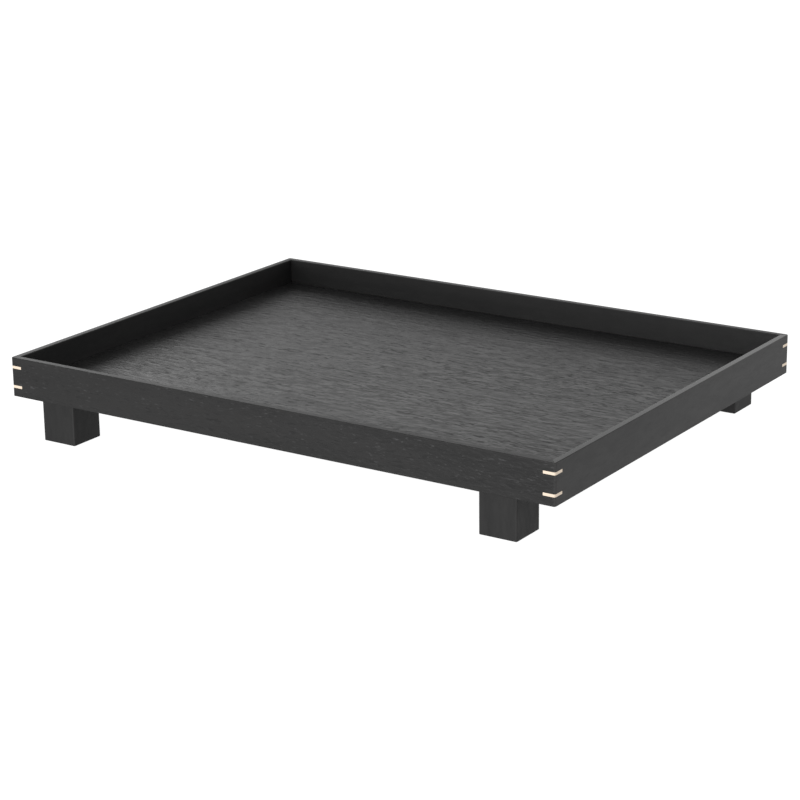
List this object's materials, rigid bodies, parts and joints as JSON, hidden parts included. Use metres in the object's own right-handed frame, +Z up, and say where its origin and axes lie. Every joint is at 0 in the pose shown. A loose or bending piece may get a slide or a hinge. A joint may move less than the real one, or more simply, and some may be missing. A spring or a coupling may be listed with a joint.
{
  "type": "tray",
  "caption": "Rectangular black-stained oak tray with low mitred walls, pale splined corners, a veneered floor and square block feet that leave room for fingers underneath.",
  "frame": {"origin": "on the ground, under the middle of the tray", "axes": "+X along the long walls, +Y towards the back wall, +Z up"},
  "size_m": [0.45, 0.34, 0.058],
  "materials": {
    "black_oak": "black stain under a thin satin lacquer, open grain",
    "pale_oak": "natural oak, clear satin lacquer",
    "birch_core": "raw board, hidden",
    "beech": "raw dowel, hidden"
  },
  "bodies": {
    "root": {"front_wall": "black_oak", "back_wall": "black_oak", "left_wall": "black_oak", "right_wall": "black_oak", "floor_veneer": "black_oak", "base_veneer": "black_oak", "floor_core": "birch_core", "front_left_foot": "black_oak", "front_right_foot": "black_oak", "back_left_foot": "black_oak", "back_right_foot": "black_oak", "front_left_spline_lower": "pale_oak", "front_left_spline_upper": "pale_oak", "front_right_spline_lower": "pale_oak", "front_right_spline_upper": "pale_oak", "back_left_spline_lower": "pale_oak", "back_left_spline_upper": "pale_oak", "back_right_spline_lower": "pale_oak", "back_right_spline_upper": "pale_oak", "front_left_dowel_1": "beech", "front_left_dowel_2": "beech", "front_right_dowel_1": "beech", "front_right_dowel_2": "beech", "back_left_dowel_1": "beech", "back_left_dowel_2": "beech", "back_right_dowel_1": "beech", "back_right_dowel_2": "beech"}
  },
  "joints": []
}
